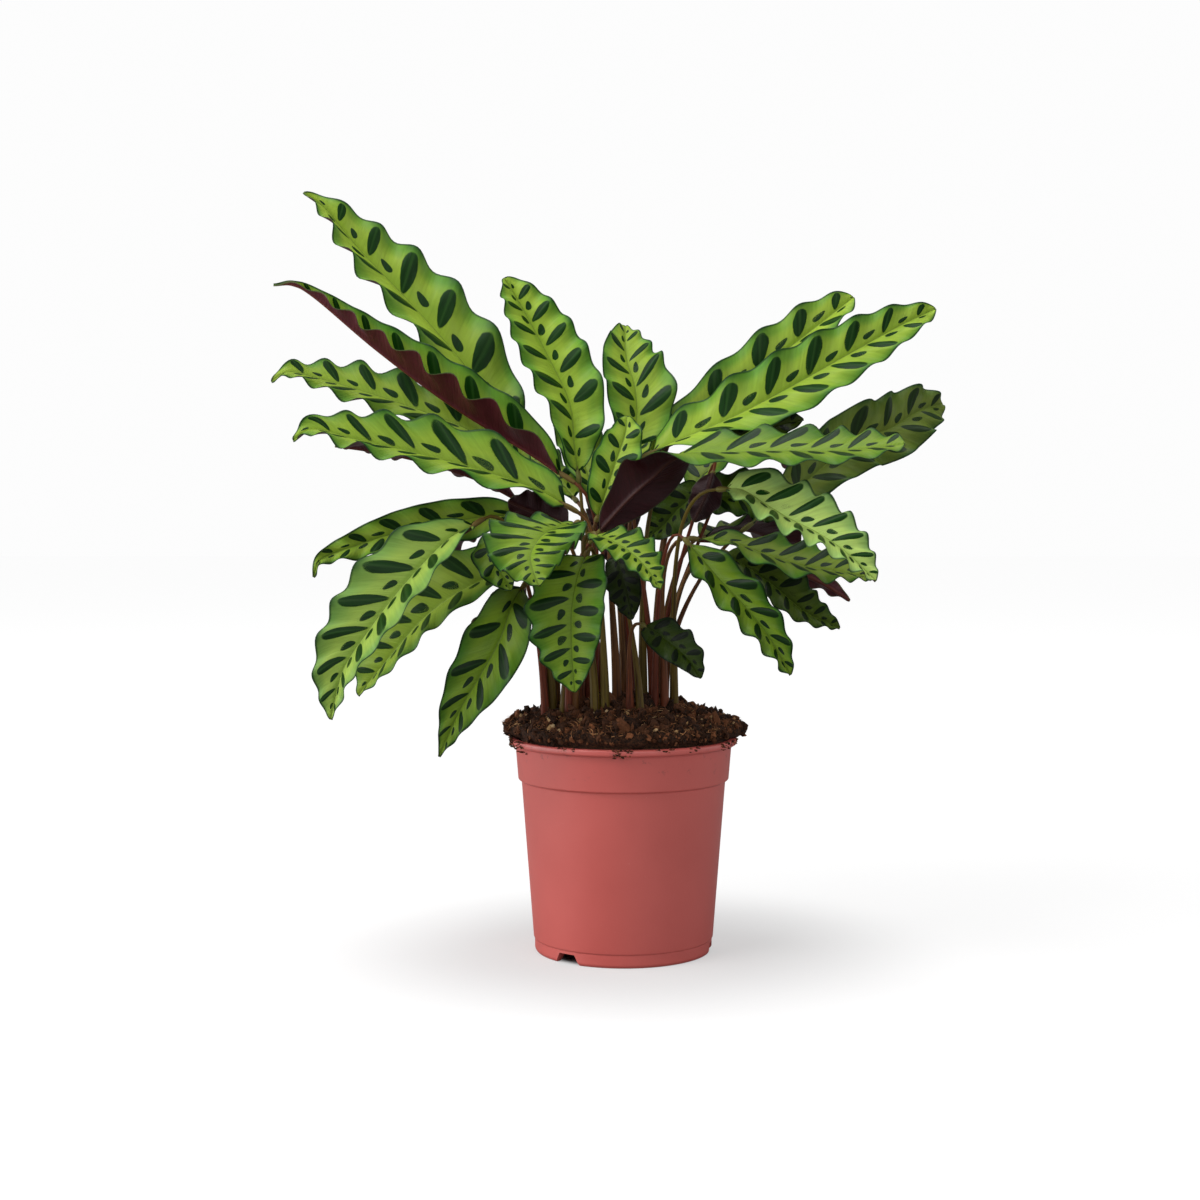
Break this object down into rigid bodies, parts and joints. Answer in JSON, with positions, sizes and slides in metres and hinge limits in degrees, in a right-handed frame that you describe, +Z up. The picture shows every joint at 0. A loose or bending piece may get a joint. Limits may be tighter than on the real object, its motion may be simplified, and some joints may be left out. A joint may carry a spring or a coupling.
{
  "type": "potted calathea",
  "caption": "Rattlesnake calathea with long waved leaves on thin stalks, growing out of peat in a round tapered nursery pot.",
  "frame": {"origin": "middle of the pot's foot, on the surface that it stands on", "axes": "+Z up, -Y towards the front that the picture shows, +X to the right as seen from the front"},
  "size_m": [0.4269, 0.2336, 0.4734],
  "materials": {
    "pot": "satin moulded plastic, terracotta red",
    "soil": "damp fibrous peat with bits of bark and perlite",
    "stalk": "smooth living stalk, red-brown",
    "blade": "satin leaf, light green with dark green spots, maroon underneath"
  },
  "bodies": {
    "root": {"pot": "pot", "peat": "soil", "shoot_a": "stalk", "shoot_b": "stalk", "shoot_c": "stalk", "shoot_d": "stalk", "shoot_e": "stalk", "shoot_f": "stalk", "shoot_g": "stalk", "shoot_h": "stalk", "shoot_i": "stalk", "shoot_j": "stalk", "shoot_k": "stalk", "shoot_l": "stalk", "shoot_m": "stalk", "shoot_n": "stalk", "leaf_left_1": "blade", "leaf_left_2": "blade", "leaf_left_3": "blade", "leaf_left_4": "blade", "leaf_left_5": "blade", "leaf_left_6": "blade", "leaf_left_7": "blade", "leaf_left_8": "blade", "leaf_left_9": "blade", "leaf_left_10": "blade", "leaf_left_11": "blade", "leaf_front_1": "blade", "leaf_front_2": "blade", "leaf_front_3": "blade", "leaf_front_4": "blade", "leaf_front_5": "blade", "leaf_centre_1": "blade", "leaf_centre_2": "blade", "leaf_centre_3": "blade", "leaf_right_1": "blade", "leaf_right_2": "blade", "leaf_right_3": "blade", "leaf_right_4": "blade", "leaf_right_5": "blade", "leaf_right_6": "blade", "leaf_right_7": "blade", "leaf_right_8": "blade", "leaf_right_9": "blade", "leaf_right_10": "blade", "leaf_right_11": "blade", "leaf_right_12": "blade", "leaf_back_1": "blade", "leaf_back_2": "blade", "leaf_back_3": "blade", "leaf_back_4": "blade", "leaf_back_5": "blade", "leaf_back_6": "blade", "leaf_back_7": "blade", "leaf_back_8": "blade", "leaf_back_9": "blade"}
  },
  "joints": []
}
